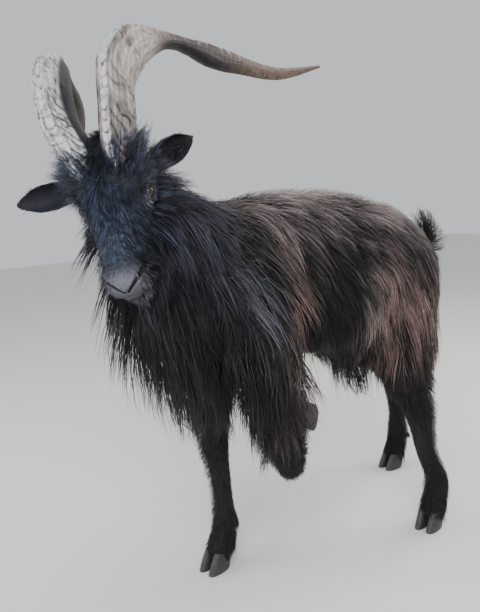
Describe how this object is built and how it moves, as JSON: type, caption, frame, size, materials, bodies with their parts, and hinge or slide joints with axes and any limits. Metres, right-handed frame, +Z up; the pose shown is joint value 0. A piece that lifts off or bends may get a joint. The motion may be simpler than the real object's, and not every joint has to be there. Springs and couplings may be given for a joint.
{
  "type": "goat",
  "caption": "Still life-size standing billy goat with a long dark coat and swept-back horns, its left foreleg lifted.",
  "frame": {"origin": "on the floor under the middle of the box that holds the whole goat", "axes": "+X to the front of the body, +Y to the goat's left, +Z up"},
  "size_m": [1.0906, 0.8536, 1.2078],
  "materials": {
    "coat": "long straight dark hair with rusty brown ends",
    "skin": "dark skin under short hair, grey at the nose",
    "horn": "ridged grey-brown horn, satin",
    "claw": "dark grey horn of the hooves, dull",
    "eye": "wet amber-brown eye"
  },
  "bodies": {
    "root": {"claw_front_left_inner": "claw", "claw_front_left_outer": "claw", "claw_front_right_inner": "claw", "claw_front_right_outer": "claw", "claw_hind_left_inner": "claw", "claw_hind_left_outer": "claw", "claw_hind_right_inner": "claw", "claw_hind_right_outer": "claw", "ear_left": "coat", "ear_right": "coat", "eye_left": "eye", "eye_right": "eye", "head": "coat", "horn_left_base": "horn", "horn_left_middle": "horn", "horn_left_tip": "horn", "horn_right_base": "horn", "horn_right_middle": "horn", "horn_right_tip": "horn", "leg_front_left": "coat", "leg_front_right": "coat", "leg_hind_left": "coat", "leg_hind_right": "coat", "mane": "coat", "neck": "coat", "tail": "coat", "trunk": "coat"}
  },
  "joints": []
}
